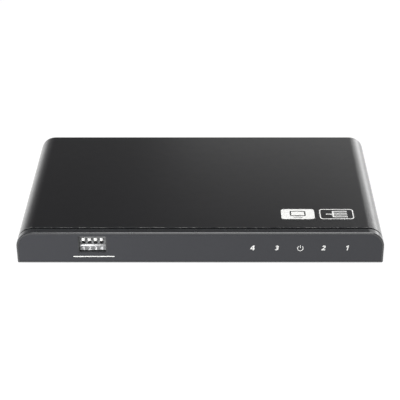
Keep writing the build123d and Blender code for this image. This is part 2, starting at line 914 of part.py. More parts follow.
with BuildPart() as power_jack_switch_leaf:
    with BuildSketch(upright(jack_back_y)):
        with Locations((jack_x - jack_width / 2, board_top_z)):
            Rectangle(jack_tab_width, jack_switch_height, align=(Align.MIN, Align.MIN))
    extrude(amount=jack_leaf_thickness)
    with BuildSketch(upright(jack_back_y)):
        with Locations((jack_x - jack_width / 2, board_top_z)):
            Rectangle(jack_tab_width, jack_leaf_thickness, align=(Align.MIN, Align.MIN))
    extrude(amount=jack_tab_foot)
save(power_jack_switch_leaf.part, "power_jack_switch_leaf")

# Slide switch body: one trough in its face, a slot for each knob and a cell behind each slot
with BuildPart() as dip_switch_body:
    with BuildSketch(upright(switch_back_y)):
        with Locations((switch_x, switch_z)):
            Rectangle(switch_width, switch_height)
    extrude(amount=switch_depth)
    chamfer(dip_switch_body.faces().sort_by(Axis.Y)[0].edges(), edge_break)
    with BuildSketch(upright(switch_front_y + trough_depth)):
        with Locations((switch_x, slot_z)):
            Rectangle(trough_width, slot_height)
    extrude(amount=trough_depth + overrun, mode=Mode.SUBTRACT)
    with BuildSketch(upright(switch_back_y)):
        with Locations([(x, slot_z) for x in knob_x]):
            Rectangle(knob_width + 2 * slide_gap, slot_height)
    extrude(amount=switch_depth, mode=Mode.SUBTRACT)
    with BuildSketch(upright(base_front_y)):
        with Locations([(x, slot_z) for x in knob_x]):
            Rectangle(carrier_width + 2 * slide_gap, carrier_height + knob_travel + 2 * slide_gap)
    extrude(amount=cavity_depth, mode=Mode.SUBTRACT)
    with BuildSketch(upright(switch_back_y)):
        with Locations((switch_x, switch_z)):
            Rectangle(switch_width - 2 * base_inset, switch_height - 2 * base_inset)
    extrude(amount=switch_back_y - base_front_y, mode=Mode.SUBTRACT)
save(dip_switch_body.part, "dip_switch_body")

# Terminals: one upper and one lower for each way, bent down into the board
terminal_z = [slot_z + side * terminal_spread for side in (1, -1)]
terminal_bottom_z = board_z - shell_leg_drop


def terminal_profile(row, grow):
    """One terminal's strip through the base, in depth and height."""
    with Locations((base_front_y, terminal_z[row])):
        Rectangle(
            base_thickness + terminal_first_row + terminal_row_pitch * (1 - row) + terminal_thickness / 2,
            terminal_thickness + 2 * grow,
            align=(Align.MIN, Align.CENTER),
        )


with BuildPart() as dip_switch_base:
    with BuildSketch(upright(base_front_y + base_thickness)):
        with Locations((switch_x, switch_z)):
            Rectangle(
                switch_width - 2 * (base_inset + block_fit), switch_height - 2 * (base_inset + block_fit)
            )
    extrude(amount=base_thickness)
    for x in knob_x:
        for row in range(2):
            with BuildSketch(sideways(x)):
                terminal_profile(row, terminal_fit)
            extrude(amount=terminal_width / 2 + terminal_fit, both=True, mode=Mode.SUBTRACT)
save(dip_switch_base.part, "dip_switch_base")

with BuildPart() as dip_switch_terminals:
    for x in knob_x:
        for row in range(2):
            riser_y = terminal_y[1 - row]
            with BuildSketch(sideways(x)):
                terminal_profile(row, 0)
                with Locations((riser_y, terminal_z[row] + terminal_thickness / 2)):
                    Rectangle(
                        terminal_thickness,
                        terminal_z[row] + terminal_thickness / 2 - terminal_bottom_z,
                        align=(Align.CENTER, Align.MAX),
                    )
            extrude(amount=terminal_width / 2, both=True)
save(dip_switch_terminals.part, "dip_switch_terminals")

# Each knob with its carrier, at the top of its travel, and the sliding contact on the carrier's back
knob_rest_z = slot_z + knob_travel / 2
wiper_half = carrier_height / 2 - wiper_margin
for index, x in enumerate(knob_x):
    with BuildPart() as dip_slider:
        with BuildSketch(upright(carrier_front_y + carrier_thickness)):
            with Locations((x, knob_rest_z)):
                Rectangle(carrier_width, carrier_height)
        extrude(amount=carrier_thickness)
        with BuildSketch(upright(carrier_front_y)):
            with Locations((x, knob_rest_z)):
                Rectangle(knob_width, knob_height)
        extrude(amount=carrier_front_y - switch_front_y + knob_proud)
        chamfer(dip_slider.faces().sort_by(Axis.Y)[0].edges(), knob_break)
    save(dip_slider.part, f"dip_slider_{index + 1}")

    wiper_front_y = carrier_front_y + carrier_thickness
    with BuildPart() as dip_wiper:
        with BuildSketch(sideways(x)):
            with BuildLine():
                Polyline(
                    (wiper_front_y, knob_rest_z - wiper_half),
                    (wiper_front_y + wiper_reach - wiper_thickness, knob_rest_z),
                    (wiper_front_y, knob_rest_z + wiper_half),
                    (wiper_front_y + wiper_thickness, knob_rest_z + wiper_half),
                    (wiper_front_y + wiper_reach, knob_rest_z),
                    (wiper_front_y + wiper_thickness, knob_rest_z - wiper_half),
                    close=True,
                )
            make_face()
        extrude(amount=wiper_width / 2, both=True)
    save(dip_wiper.part, f"dip_wiper_{index + 1}")

# Light guide: a comb of clear prongs whose noses stand in the bezel's holes
guide_length = light_span + 2 * guide_end
with BuildPart() as light_guide:
    with BuildSketch(level(light_z - prong_size / 2)):
        with Locations([(x, guide_nose_y) for x in light_x]):
            Rectangle(prong_size, guide_prong, align=(Align.CENTER, Align.MIN))
        with Locations((guide_mid_x, guide_tail_y)):
            Rectangle(guide_length, guide_bar, align=(Align.CENTER, Align.MAX))
    extrude(amount=prong_size)
    with BuildSketch(upright(guide_tail_y)):
        with Locations([(x, light_z) for x in guide_peg_x]):
            Rectangle(guide_peg_size + 2 * guide_peg_fit, guide_peg_size + 2 * guide_peg_fit)
    extrude(amount=guide_bar, mode=Mode.SUBTRACT)
save(light_guide.part, "light_guide")

# Foam seal that keeps the light of one prong from the next
with BuildPart() as light_seal:
    with BuildSketch(upright(front_y + bezel_wall + seal_thickness)):
        with Locations((guide_mid_x, light_z)):
            Rectangle(light_span + 2 * seal_end, seal_height)
        with Locations([(x, light_z) for x in light_x]):
            Rectangle(prong_size + 2 * seal_fit, prong_size + 2 * seal_fit, mode=Mode.SUBTRACT)
    extrude(amount=seal_thickness)
save(light_seal.part, "light_seal")

# Indicator lights: side-firing lamps on the board, close behind the prongs
led_front_y = guide_tail_y + led_gap + led_lens_depth
with BuildPart() as indicator_leds:
    with BuildSketch(level(board_top_z)):
        with Locations([(x, led_front_y) for x in light_x]):
            Rectangle(led_width, led_depth, align=(Align.CENTER, Align.MIN))
    extrude(amount=led_height)
    with BuildSketch(level(board_top_z)):
        with Locations([(x, led_front_y) for x in light_x]):
            Rectangle(led_lens_width, led_lens_depth, align=(Align.CENTER, Align.MAX))
    extrude(amount=led_height)
save(indicator_leds.part, "indicator_leds")

# Main chip, its pad and its finned cooler
chip_place = on_board(chip_place_shares)
with BuildPart() as splitter_chip:
    with BuildSketch(level(board_top_z)):
        with Locations(chip_place):
            Rectangle(chip_size, chip_size)
    extrude(amount=chip_thickness)
    chamfer(splitter_chip.edges().group_by(Axis.Z)[-1], chip_bevel)
save(splitter_chip.part, "splitter_chip")

pad_z = board_top_z + chip_thickness
with BuildPart() as thermal_pad:
    with BuildSketch(level(pad_z)):
        with Locations(chip_place):
            Rectangle(pad_size, pad_size)
    extrude(amount=pad_thickness)
save(thermal_pad.part, "thermal_pad")

sink_z = pad_z + pad_thickness
fin_pitch = (sink_size - sink_fin) / (sink_fin_count - 1)
with BuildPart() as chip_heatsink:
    with BuildSketch(level(sink_z)):
        with Locations(chip_place):
            Rectangle(sink_size, sink_size)
    extrude(amount=sink_base)
    with BuildSketch(level(sink_z)):
        with Locations(chip_place):
            with GridLocations(fin_pitch, sink_size, sink_fin_count, 1):
                Rectangle(sink_fin, sink_size)
    extrude(amount=roof_z - sink_head_gap - sink_z)
save(chip_heatsink.part, "chip_heatsink")


def leaded_chip(width, length, thickness, lead_width, lead_pitch, lead_count):
    """A moulded chip on two rows of gull-wing leads, standing on the board about its middle."""
    rise = lead_thickness + thickness / 2
    with BuildPart() as chip:
        with BuildSketch(level(lead_thickness)):
            Rectangle(width, length)
        extrude(amount=thickness)
        chamfer(chip.edges().group_by(Axis.Z)[-1], chip_bevel)
        for index in range(lead_count):
            with BuildSketch(upright(lead_pitch * (index - (lead_count - 1) / 2) + lead_width / 2)):
                with BuildLine():
                    Polyline(
                        (width / 2, rise),
                        (width / 2 + lead_reach / 2, lead_thickness),
                        (width / 2 + lead_reach, lead_thickness),
                        (width / 2 + lead_reach, 0),
                        (width / 2 + lead_reach / 3, 0),
                        (width / 2, rise - lead_thickness),
                        close=True,
                    )
                make_face()
                mirror(about=Plane.YZ)
            extrude(amount=lead_width)
    return chip.part


with BuildPart() as controller_chip:
    with BuildSketch(level(board_top_z)):
        with Locations(on_board(quad_place_shares)):
            Rectangle(quad_size, quad_size)
    extrude(amount=quad_thickness)
    chamfer(controller_chip.edges().group_by(Axis.Z)[-1], chip_bevel)
save(controller_chip.part, "controller_chip")

memory_shape = leaded_chip(
    small_chip_width,
    small_chip_length,
    small_chip_thickness,
    small_lead_width,
    small_lead_pitch,
    small_lead_count,
)
with BuildPart() as memory_chip:
    with Locations(on_board(memory_place_shares) + (board_top_z,)):
        add(memory_shape)
save(memory_chip.part, "memory_chip")

regulator_shape = leaded_chip(
    regulator_width,
    regulator_length,
    small_chip_thickness,
    regulator_lead_width,
    regulator_lead_pitch,
    regulator_lead_count,
)
with BuildPart() as regulator_chips:
    with Locations([on_board(place) + (board_top_z,) for place in regulator_place_shares]):
        add(regulator_shape)
save(regulator_chips.part, "regulator_chips")

with BuildPart() as crystal_can:
    with BuildSketch(level(board_top_z)):
        with Locations(on_board(crystal_place_shares)):
            SlotOverall(crystal_length, crystal_width)
    extrude(amount=crystal_height)
save(crystal_can.part, "crystal_can")

with BuildPart() as power_inductor:
    with BuildSketch(level(board_top_z)):
        with Locations(on_board(coil_place_shares)):
            flange = Rectangle(coil_size, coil_size)
        chamfer(flange.vertices(), coil_corner)
    extrude(amount=coil_height)
    with BuildSketch(level(board_top_z + coil_flange)):
        with Locations(on_board(coil_place_shares)):
            Rectangle(coil_size + overrun, coil_size + overrun)
            Rectangle(coil_core_size, coil_core_size, mode=Mode.SUBTRACT)
    extrude(amount=coil_height - 2 * coil_flange, mode=Mode.SUBTRACT)
save(power_inductor.part, "power_inductor")


def filter_can():
    """A rolled can on its moulded base, about Z."""
    with BuildPart() as can:
        with BuildSketch(Plane.XY):
            base = Rectangle(2 * can_base_half, 2 * can_base_half)
            chamfer(base.vertices().group_by(Axis.X)[-1], can_base_bevel)
        extrude(amount=can_base)
        with BuildSketch(Plane.XY):
            Circle(can_radius)
        extrude(amount=can_height)
    return can.part


with BuildPart() as filter_capacitors:
    with Locations([on_board(place) + (board_top_z,) for place in can_place_shares]):
        add(filter_can())
save(filter_capacitors.part, "filter_capacitors")

# Ceramic capacitors stand in rows on both sides of the main chip
ceramic_pitch_y = sink_size + ceramic_length + 2 * ceramic_gap
with BuildPart() as ceramic_capacitors:
    with BuildSketch(level(board_top_z)):
        with Locations(chip_place):
            with GridLocations(ceramic_pitch_x, ceramic_pitch_y, ceramic_columns, ceramic_rows):
                Rectangle(ceramic_width, ceramic_length)
    extrude(amount=ceramic_height)
save(ceramic_capacitors.part, "ceramic_capacitors")

# Termination resistors, a short row in front of each socket
with BuildPart() as termination_resistors:
    with BuildSketch(level(board_top_z)):
        with Locations([(x, back_y - shell_depth - resistor_set) for x in socket_x]):
            with GridLocations(resistor_pitch, resistor_length, resistor_count, 1):
                Rectangle(resistor_width, resistor_length)
    extrude(amount=resistor_height)
save(termination_resistors.part, "termination_resistors")

# Surge arrays, a pair in front of each socket
with BuildPart() as surge_arrays:
    with BuildSketch(level(board_top_z)):
        with Locations([(x + side * surge_spread, back_y - shell_depth - surge_set)
                        for x in socket_x for side in (-1, 1)]):
            Rectangle(surge_length, surge_width)
    extrude(amount=surge_height)
save(surge_arrays.part, "surge_arrays")
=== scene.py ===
import math

import bmesh
import bpy
from mathutils import Matrix, Vector

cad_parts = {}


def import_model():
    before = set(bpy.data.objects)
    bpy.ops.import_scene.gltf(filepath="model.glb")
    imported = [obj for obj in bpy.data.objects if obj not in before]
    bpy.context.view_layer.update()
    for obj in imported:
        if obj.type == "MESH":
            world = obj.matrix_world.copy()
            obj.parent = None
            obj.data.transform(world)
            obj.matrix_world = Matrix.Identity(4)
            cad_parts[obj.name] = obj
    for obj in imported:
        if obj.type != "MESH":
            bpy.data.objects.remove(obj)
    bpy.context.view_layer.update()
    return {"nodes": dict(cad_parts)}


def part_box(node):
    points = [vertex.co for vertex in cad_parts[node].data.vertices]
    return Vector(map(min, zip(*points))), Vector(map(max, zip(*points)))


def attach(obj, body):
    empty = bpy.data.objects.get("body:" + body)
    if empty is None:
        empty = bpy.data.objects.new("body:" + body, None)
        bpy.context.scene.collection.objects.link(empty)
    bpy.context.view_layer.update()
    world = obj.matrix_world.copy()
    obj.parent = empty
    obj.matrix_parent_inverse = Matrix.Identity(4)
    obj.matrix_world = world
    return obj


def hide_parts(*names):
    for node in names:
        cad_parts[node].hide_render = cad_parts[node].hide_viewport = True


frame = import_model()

# Metres, in the part's own frame: +X right of the front face, +Y to the rear, +Z up from the table
HOUSING = "housing"

# Camera, worked out from the photograph's outline
CAMERA_PLACE = (0.00639, -0.46987, 0.27767)
CAMERA_PITCH = math.radians(60.0)
CAMERA_LENS = 107.485
CAMERA_SENSOR = 36.0
CAMERA_SHIFT_X = -0.0385
CAMERA_NEAR = 0.01

# Studio. Matt surfaces see the world at WORLD_SOFT. Reflections see the sum of two fades, each given by its
# strength at WORLD_FOOT and the height at which it ends
WORLD_SOFT = 0.4
WORLD_FOOT = -0.05
WORLD_FADES = ((0.38, 0.55), (0.57, 0.25))
FLOOR_HALF = 6.0
FLOOR_PAPER = 0.8
FLOOR_SHADE = 0.12
FLOOR_GLOW = 0.92
AIM = (0.0, 0.0, 0.01)
# Softboxes, all aimed at the part: name, place, width, height, power in watts, whether reflections see it
LIGHTS = (
    ("over_front", (0.2, -0.42, 0.77), 0.8, 0.4, 3.7, True),
    ("low_front", (-0.3, -0.7, 0.3), 0.5, 0.3, 0.85, False),
    ("near_left", (-0.25, -0.22, 0.12), 0.2, 0.15, 1.2, False),
    ("over_right", (0.45, -0.1, 0.65), 0.5, 0.4, 0.8, True),
    ("far_rear_right", (0.6, 0.9, 0.7), 0.6, 0.4, 0.6, True),
    ("low_rear_right", (0.45, 0.6, 0.1), 0.5, 0.2, 0.66, True),
    ("behind", (0.2, 0.7, 0.27), 0.5, 0.15, 0.143, True),
)

# Corners within WELD are one corner, faces within FLAT_ANGLE one face, and edges over EDGE_ANGLE are rounded
WELD = 0.000002
FLAT_ANGLE = math.radians(1.0)
EDGE_ANGLE = math.radians(28.0)
# Radii of the rounded edges, which the solids leave sharp
COVER_EDGE = 0.00016
BEZEL_EDGE = 0.00009
FILM_EDGE = 0.0001
SHEET_EDGE = 0.00012
FOOT_EDGE = 0.0003
SWITCH_EDGE = 0.00008
KNOB_EDGE = 0.0001
# Thickness of printed ink. On the cover and the film it is flush with the solid, and the skin is set back
INK = 0.00002
# Radius of the large corners of the cover and the bezel
ROUND_CORNER = 0.007
# The cover's cut front edge: its depth, the least forward lean of its worn facets, which take a painted
# glint, and the least forward lean of its facets in the gap, which take painted shade
CUT_DEPTH = 0.0004
WORN_LEAN = 0.05
GAP_SHADE_LEAN = 0.6
# The film's corners, how far out its rim begins, and how much the rim grows
FILM_CORE = 0.0061
FILM_REACH = 0.004
FILM_GROWTH = 0.00006
# The bezel's front bevel, and how far it is drawn to its edge
BEZEL_BEVEL = 0.00045
RIM_SHIFT = 0.00015
# The slide switch's recess, and how far below its lower edge the painted highlight on its ledge reaches
TROUGH_DEPTH = 0.001
TROUGH_WIDTH = 0.0103
TROUGH_LOW = 0.00925
LEDGE_HIGHLIGHT_DROP = 0.00055
# Noise stays mostly within these values
NOISE_RANGE = (0.3, 0.7)


def lo_hi(node):
    """Lowest and highest corner of a CAD node."""
    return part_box(node)


class Finish:
    """A Principled material that is built up node by node, in the object's own coordinates."""

    def __init__(self, name, colour, roughness, metallic=0.0, specular=0.5):
        self.material = bpy.data.materials.new(name)
        self.material.use_nodes = True
        self.tree = self.material.node_tree
        self.shader = self.tree.nodes["Principled BSDF"]
        self.shader.inputs["Base Color"].default_value = (*colour, 1.0)
        self.shader.inputs["Roughness"].default_value = roughness
        self.shader.inputs["Metallic"].default_value = metallic
        self.shader.inputs["Specular IOR Level"].default_value = specular
        self.colour = colour
        self.place = self.node("ShaderNodeTexCoord").outputs["Object"]
        self.last_bump = None

    def node(self, kind, **inputs):
        made = self.tree.nodes.new(kind)
        for name, value in inputs.items():
            self.feed(made.inputs[name.replace("_", " ")], value)
        return made

    def feed(self, socket, value):
        if isinstance(value, bpy.types.NodeSocket):
            self.tree.links.new(value, socket)
        else:
            socket.default_value = value

    def stretched(self, scale):
        """The object's coordinates, stretched: brushed or drawn grain runs along the smallest scale."""
        mapping = self.node("ShaderNodeMapping", Vector=self.place, Scale=scale)
        return mapping.outputs["Vector"]

    def noise(self, size, detail=2.0, rough=0.5, place=None):
        """Smooth noise, whose features measure about size metres."""
        made = self.node("ShaderNodeTexNoise", Vector=place or self.place, Scale=1.0 / size,
                         Detail=detail, Roughness=rough)
        return made.outputs["Fac"]

    def cells(self, size):
        """Distance to the middle of rounded cells of size metres."""
        made = self.node("ShaderNodeTexVoronoi", Vector=self.place, Scale=1.0 / size)
        return made.outputs["Distance"]

    def between(self, value, low, high, to_low=0.0, to_high=1.0):
        """value, from low..high to to_low..to_high, held at the ends."""
        made = self.node("ShaderNodeMapRange", Value=value, From_Min=low, From_Max=high,
                         To_Min=to_low, To_Max=to_high)
        return made.outputs["Result"]

    def maths(self, operation, first, second=0.0):
        made = self.tree.nodes.new("ShaderNodeMath")
        made.operation = operation
        self.feed(made.inputs[0], first)
        self.feed(made.inputs[1], second)
        return made.outputs[0]

    def axis(self, name):
        return self.node("ShaderNodeSeparateXYZ", Vector=self.place).outputs[name]

    def blend(self, share, first, second):
        """The colour first where share is 0, second where it is 1."""
        made = self.tree.nodes.new("ShaderNodeMix")
        made.data_type = "RGBA"
        self.feed(made.inputs["Factor"], share)
        # This node has sockets for every kind of data, and these are the ones for colours
        low_socket, high_socket, mixed = made.inputs[6], made.inputs[7], made.outputs[2]
        for socket, colour in ((low_socket, first), (high_socket, second)):
            self.feed(socket, (*colour, 1.0) if isinstance(colour, tuple) else colour)
        return mixed

    def paint(self, colour):
        self.feed(self.shader.inputs["Base Color"], colour)

    def tint(self, share, low, high):
        """Base colour that drifts between a darker and a lighter shade of itself."""
        darker = tuple(c * low for c in self.colour)
        lighter = tuple(min(c * high, 1.0) for c in self.colour)
        self.paint(self.blend(share, darker, lighter))

    def rough(self, share, low, high):
        """Roughness that drifts between low and high."""
        self.feed(self.shader.inputs["Roughness"], self.between(share, *NOISE_RANGE, low, high))

    def bump(self, height, depth, strength):
        """Relief of depth metres, on top of any relief that is already there."""
        made = self.node("ShaderNodeBump", Height=height, Distance=depth, Strength=strength)
        if self.last_bump is not None:
            self.feed(made.inputs["Normal"], self.last_bump)
        self.last_bump = made.outputs["Normal"]
        self.feed(self.shader.inputs["Normal"], self.last_bump)


def srgb(*levels):
    """Linear colour from screen levels 0..255."""
    def linear(v):
        v = v / 255.0
        return v / 12.92 if v <= 0.04045 else ((v + 0.055) / 1.055) ** 2.4
    if len(levels) == 1:
        levels = levels * 3
    return tuple(linear(v) for v in levels)


def satin_paint():
    """Black stoving paint on sheet steel."""
    f = Finish("black_cover_paint", srgb(24, 24, 26), 0.34, specular=0.7)
    f.shader.inputs["Coat Weight"].default_value = 1.0
    f.shader.inputs["Coat Roughness"].default_value = 0.25
    f.tint(f.noise(0.018, detail=3.0), 0.9, 1.1)
    f.rough(f.noise(0.004, detail=4.0), 0.31, 0.37)
    f.bump(f.noise(0.00022), 0.000004, 0.5)
    f.bump(f.noise(0.006), 0.00001, 0.35)
    return f.material


def worn_paint_and_glint():
    """The same paint along the cover's cut front edge, worn so that the steel shows through in specks. The
    edge and its specks are also lighter than the paint elsewhere, as a painted glint along the edge.
    """
    f = Finish("worn_paint_and_glint", srgb(66, 67, 69), 0.4)
    specks = f.between(f.noise(0.0014, detail=4.0, rough=0.8), 0.5, 0.6)
    f.paint(f.blend(specks, f.colour, srgb(158, 158, 156)))
    f.rough(f.noise(0.0006, detail=4.0), 0.3, 0.5)
    f.bump(f.noise(0.0003, detail=3.0), 0.00001, 0.6)
    return f.material


def bezel_gloss():
    """The bezel's black plastic, glossier than the film let into it."""
    f = Finish("black_bezel_plastic", srgb(42, 43, 45), 0.24, specular=0.7)
    f.shader.inputs["Coat Weight"].default_value = 0.6
    f.shader.inputs["Coat Roughness"].default_value = 0.22
    f.tint(f.noise(0.012, detail=3.0), 0.92, 1.08)
    f.rough(f.noise(0.0024, detail=3.0), 0.21, 0.28)
    f.bump(f.noise(0.0003, detail=3.0), 0.000004, 0.5)
    return f.material


def shaded_cut_edge():
    """The cut face of the cover's front edge, painted near black as painted shade in the gap."""
    f = Finish("shaded_cut_edge", srgb(8, 8, 9), 0.85, specular=0.05)
    f.tint(f.noise(0.0008, detail=3.0), 0.8, 1.2)
    f.rough(f.noise(0.0004), 0.8, 0.95)
    f.bump(f.noise(0.0002, detail=3.0), 0.00001, 0.6)
    return f.material


def moulded_plastic(name, colour, roughness):
    """Moulded plastic with a fine spark-eroded grain."""
    grain, depth = 0.0003, 0.000008
    f = Finish(name, colour, roughness)
    f.tint(f.noise(0.012, detail=3.0), 0.92, 1.08)
    f.rough(f.noise(grain * 8.0, detail=3.0), roughness - 0.05, roughness + 0.06)
    f.bump(f.noise(grain, detail=3.0), depth, 0.6)
    return f.material


def printed_film():
    """Back-printed polycarbonate film with a velvet face."""
    f = Finish("front_film", srgb(45, 46, 50), 0.42)
    f.tint(f.noise(0.03, detail=2.0), 0.93, 1.07)
    f.rough(f.noise(0.0012, detail=4.0), 0.38, 0.46)
    f.bump(f.noise(0.00014, detail=2.0), 0.000003, 0.5)
    f.bump(f.noise(0.02), 0.00002, 0.3)
    return f.material


def metal(name, colour, roughness, drawn=(1.0, 1.0, 1.0)):
    """Bare or plated metal, with grain drawn along the axis of the smallest scale."""
    f = Finish(name, colour, roughness, metallic=1.0)
    f.tint(f.noise(0.003, detail=4.0), 0.88, 1.06)
    lines = f.noise(0.0004, detail=4.0, rough=0.6, place=f.stretched(drawn))
    f.rough(lines, roughness * 0.75, roughness * 1.3)
    f.bump(lines, 0.000003, 0.5)
    return f.material


def board_green():
    """Solder mask over tracks."""
    tracks_per_metre = 380.0
    f = Finish("board_mask", srgb(20, 82, 48), 0.3)
    tracks = f.between(f.maths("FRACT", f.maths("MULTIPLY", f.axis("X"), tracks_per_metre)), 0.42, 0.5)
    lanes = f.between(f.noise(0.012, detail=1.0, place=f.stretched((1.0, 0.3, 1.0))), 0.48, 0.52)
    f.paint(f.blend(f.maths("MULTIPLY", tracks, lanes), f.colour, srgb(34, 112, 66)))
    f.rough(f.noise(0.002), 0.25, 0.4)
    f.bump(tracks, 0.00002, 0.4)
    return f.material


def rubber(name, colour, roughness):
    """Soft rubber or silicone with a dusty, pitted skin."""
    f = Finish(name, colour, roughness, specular=0.3)
    f.tint(f.noise(0.0012, detail=5.0), 0.8, 1.25)
    f.rough(f.noise(0.002, detail=3.0), roughness - 0.1, roughness + 0.08)
    f.bump(f.noise(0.0003, detail=4.0), 0.00003, 0.6)
    return f.material


def foam(name, colour):
    """Open-celled foam, painted darker in the hollows of its cells as painted shade."""
    f = Finish(name, colour, 0.95, specular=0.2)
    holes = f.cells(0.0005)
    f.tint(f.between(holes, 0.1, 0.5), 0.5, 1.5)
    f.bump(holes, 0.00008, 0.8)
    return f.material


def clear_plastic(name, colour):
    """Clear moulded acrylic."""
    f = Finish(name, colour, 0.12)
    f.shader.inputs["Transmission Weight"].default_value = 0.85
    f.shader.inputs["IOR"].default_value = 1.49
    f.rough(f.noise(0.002, detail=3.0), 0.08, 0.2)
    f.tint(f.noise(0.004), 0.93, 1.0)
    return f.material


def lamp(name, colour):
    """The milky lens of a small lamp."""
    f = Finish(name, colour, 0.35)
    f.shader.inputs["Subsurface Weight"].default_value = 0.2
    f.shader.inputs["Subsurface Scale"].default_value = 0.0005
    f.tint(f.noise(0.0008), 0.9, 1.0)
    f.rough(f.noise(0.0006), 0.3, 0.4)
    return f.material


def ink(name, colour, roughness=0.5):
    """Screen-printed ink: slightly uneven, a little rough."""
    f = Finish(name, colour, roughness)
    f.tint(f.noise(0.0005, detail=4.0), 0.9, 1.03)
    f.rough(f.noise(0.0002, detail=2.0), roughness - 0.08, roughness + 0.1)
    f.bump(f.noise(0.00012), 0.000004, 0.5)
    return f.material


FINISHES = {
    "black_cover_paint": satin_paint(),
    "black_bezel_plastic": bezel_gloss(),
    "front_film": printed_film(),
    "black_zinc_screws": metal("black_zinc_screws", srgb(70, 70, 74), 0.35),
    "rubber_black": rubber("rubber_black", srgb(30, 30, 32), 0.75),
    "brass_inserts": metal("brass_inserts", srgb(196, 164, 98), 0.28),
    "bright_steel": metal("bright_steel", srgb(200, 202, 205), 0.25),
    "board_mask": board_green(),
    "socket_steel": metal("socket_steel", srgb(196, 198, 202), 0.22, drawn=(0.12, 1.0, 1.0)),
    "tongue_plastic": moulded_plastic("tongue_plastic", srgb(24, 24, 26), 0.4),
    "contact_gold": metal("contact_gold", srgb(222, 182, 96), 0.2),
    "switch_plastic": moulded_plastic("switch_plastic", srgb(112, 113, 114), 0.32),
    "white_knobs": moulded_plastic("white_knobs", srgb(240, 240, 238), 0.35),
    "clear_guide": clear_plastic("clear_guide", srgb(228, 232, 235)),
    "foam_black": foam("foam_black", srgb(24, 24, 25)),
    "lamp_white": lamp("lamp_white", srgb(240, 236, 225)),
    "chip_black": moulded_plastic("chip_black", srgb(34, 35, 38), 0.55),
    "pad_grey": rubber("pad_grey", srgb(140, 148, 158), 0.7),
    "black_anodised": metal("black_anodised", srgb(44, 45, 49), 0.42, drawn=(1.0, 0.1, 1.0)),
    "ceramic_tan": moulded_plastic("ceramic_tan", srgb(176, 141, 102), 0.35),
}
# The cover's front edge: worn paint with a painted glint, and painted shade on the faces in the gap
WORN_PAINT_AND_GLINT = worn_paint_and_glint()
SHADED_CUT_EDGE = shaded_cut_edge()
WHITE_INK = ink("white_ink", srgb(238, 238, 236))
# Pale print on the switch, also used for the painted highlight along the ledge of its recess
PALE_INK_AND_HIGHLIGHT = ink("pale_ink_and_highlight", srgb(214, 215, 216))


def piece(name, mesh, finish, body=HOUSING, replaced=()):
    """A new object that rides a body and stands for the CAD nodes replaced."""
    made = bpy.data.objects.new(name, mesh)
    bpy.context.scene.collection.objects.link(made)
    mesh.materials.clear()
    mesh.materials.append(finish)
    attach(made, body)
    if replaced:
        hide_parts(*replaced)
    return made


def smooth(mesh):
    """Smooth shading that stops at the edges."""
    for face in mesh.polygons:
        face.use_smooth = True
    mesh.set_sharp_from_angle(angle=EDGE_ANGLE)


def settled(made):
    """The object's mesh with its modifiers applied."""
    bpy.context.view_layer.update()
    graph = bpy.context.evaluated_depsgraph_get()
    mesh = bpy.data.meshes.new_from_object(made.evaluated_get(graph), depsgraph=graph)
    made.modifiers.clear()
    old = made.data
    made.data = mesh
    bpy.data.meshes.remove(old)
    return mesh


def node_mesh(node, shift=None):
    """The CAD node's mesh in large flat faces, each corner once."""
    source = frame["nodes"][node].data
    mesh = bpy.data.meshes.new(node + "_mesh")
    corners = [tuple(v.co) for v in source.vertices]
    mesh.from_pydata(corners, [], [tuple(p.vertices) for p in source.polygons])
    work = bmesh.new()
    work.from_mesh(mesh)
    bmesh.ops.remove_doubles(work, verts=work.verts, dist=WELD)
    bmesh.ops.dissolve_limit(work, angle_limit=FLAT_ANGLE, verts=work.verts, edges=work.edges)
    if shift:
        for corner in work.verts:
            corner.co = shift(corner.co.copy())
    work.to_mesh(mesh)
    work.free()
    return mesh


def rounded(name, node, slot, radius, segments=2, body=HOUSING, shift=None):
    """Stands for a CAD node with its sharp edges rounded off, and its corners moved by shift."""
    made = piece(name, node_mesh(node, shift), FINISHES[slot], body, (node,))
    bevel = made.modifiers.new("edges", "BEVEL")
    bevel.width = radius
    bevel.segments = segments
    bevel.limit_method = "ANGLE"
    bevel.angle_limit = EDGE_ANGLE
    bevel.use_clamp_overlap = True
    bevel.miter_outer = "MITER_ARC"
    smooth(settled(made))
    made.modifiers.new("normals", "WEIGHTED_NORMAL").keep_sharp = True
    return made


def flat_piece(name, loops, thickness, to_place, finish):
    """A prism on closed outlines, an inner outline being a hole. Its face lies in the XY plane, from where
    to_place carries it into the part."""
    curve = bpy.data.curves.new(name, "CURVE")
    curve.dimensions = "2D"
    curve.fill_mode = "BOTH"
    curve.extrude = thickness / 2.0
    for loop in loops:
        spline = curve.splines.new("POLY")
        spline.points.add(len(loop) - 1)
        for point, (x, y) in zip(spline.points, loop):
            point.co = (x, y, 0.0, 1.0)
        spline.use_cyclic_u = True
    holder = bpy.data.objects.new(name + "_curve", curve)
    bpy.context.scene.collection.objects.link(holder)
    bpy.context.view_layer.update()
    graph = bpy.context.evaluated_depsgraph_get()
    mesh = bpy.data.meshes.new_from_object(holder.evaluated_get(graph))
    bpy.data.objects.remove(holder)
    work = bmesh.new()
    work.from_mesh(mesh)
    bmesh.ops.remove_doubles(work, verts=work.verts, dist=WELD)
    work.to_mesh(mesh)
    work.free()
    mesh.transform(to_place @ Matrix.Translation((0.0, 0.0, -thickness / 2.0)))
    return piece(name, mesh, finish)


def arc(radius, start, end, steps):
    """Points on a circle from start to end, in degrees."""
    angles = [math.radians(start + (end - start) * i / steps) for i in range(steps + 1)]
    return [(radius * math.cos(a), radius * math.sin(a)) for a in angles]


def moved(loop, x, y):
    return [(px + x, py + y) for px, py in loop]


